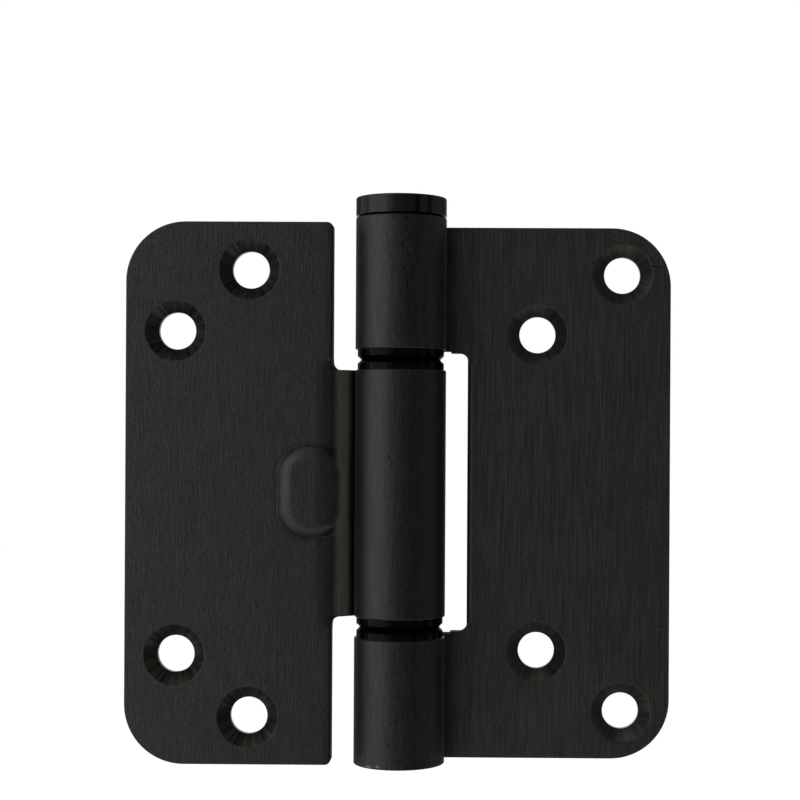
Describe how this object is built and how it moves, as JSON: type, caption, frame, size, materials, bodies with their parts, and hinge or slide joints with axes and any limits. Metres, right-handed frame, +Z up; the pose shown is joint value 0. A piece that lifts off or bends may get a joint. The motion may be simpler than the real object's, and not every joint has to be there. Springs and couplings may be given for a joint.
{
  "type": "plain bearing butt hinge",
  "caption": "Door hinge with two rectangular leaves, one cranked, countersunk screw holes, rolled knuckles on one capped pin and plastic flanged bushes between them.",
  "frame": {"origin": "on the pin's axis, level with the leaves' lower edges", "axes": "+Z up the pin towards the cap, +X out along the frame leaf, +Y to the back, away from the countersunk faces; the hinge lies open flat"},
  "size_m": [0.09, 0.015, 0.0932],
  "materials": {
    "brushed_leaf_steel": "near-black stainless sheet, brushed along the pin",
    "turned_cap_steel": "near-black stainless, fine turned",
    "pin_steel": "ground steel",
    "bush_plastic": "black moulded plastic"
  },
  "bodies": {
    "frame_side": {"frame_leaf": "brushed_leaf_steel", "hinge_pin": "pin_steel", "top_cap": "turned_cap_steel", "bottom_plug": "turned_cap_steel", "upper_frame_bush": "bush_plastic", "lower_frame_bush": "bush_plastic"},
    "door_side": {"door_leaf": "brushed_leaf_steel", "upper_door_bush": "bush_plastic", "lower_door_bush": "bush_plastic"}
  },
  "joints": [
    {"name": "leaf_swing", "type": "hinge", "parent": "frame_side", "child": "door_side", "pos_m": [0, 0, 0.0445], "axis": [0, 0, 1], "range_deg": [-130, 180]}
  ]
}
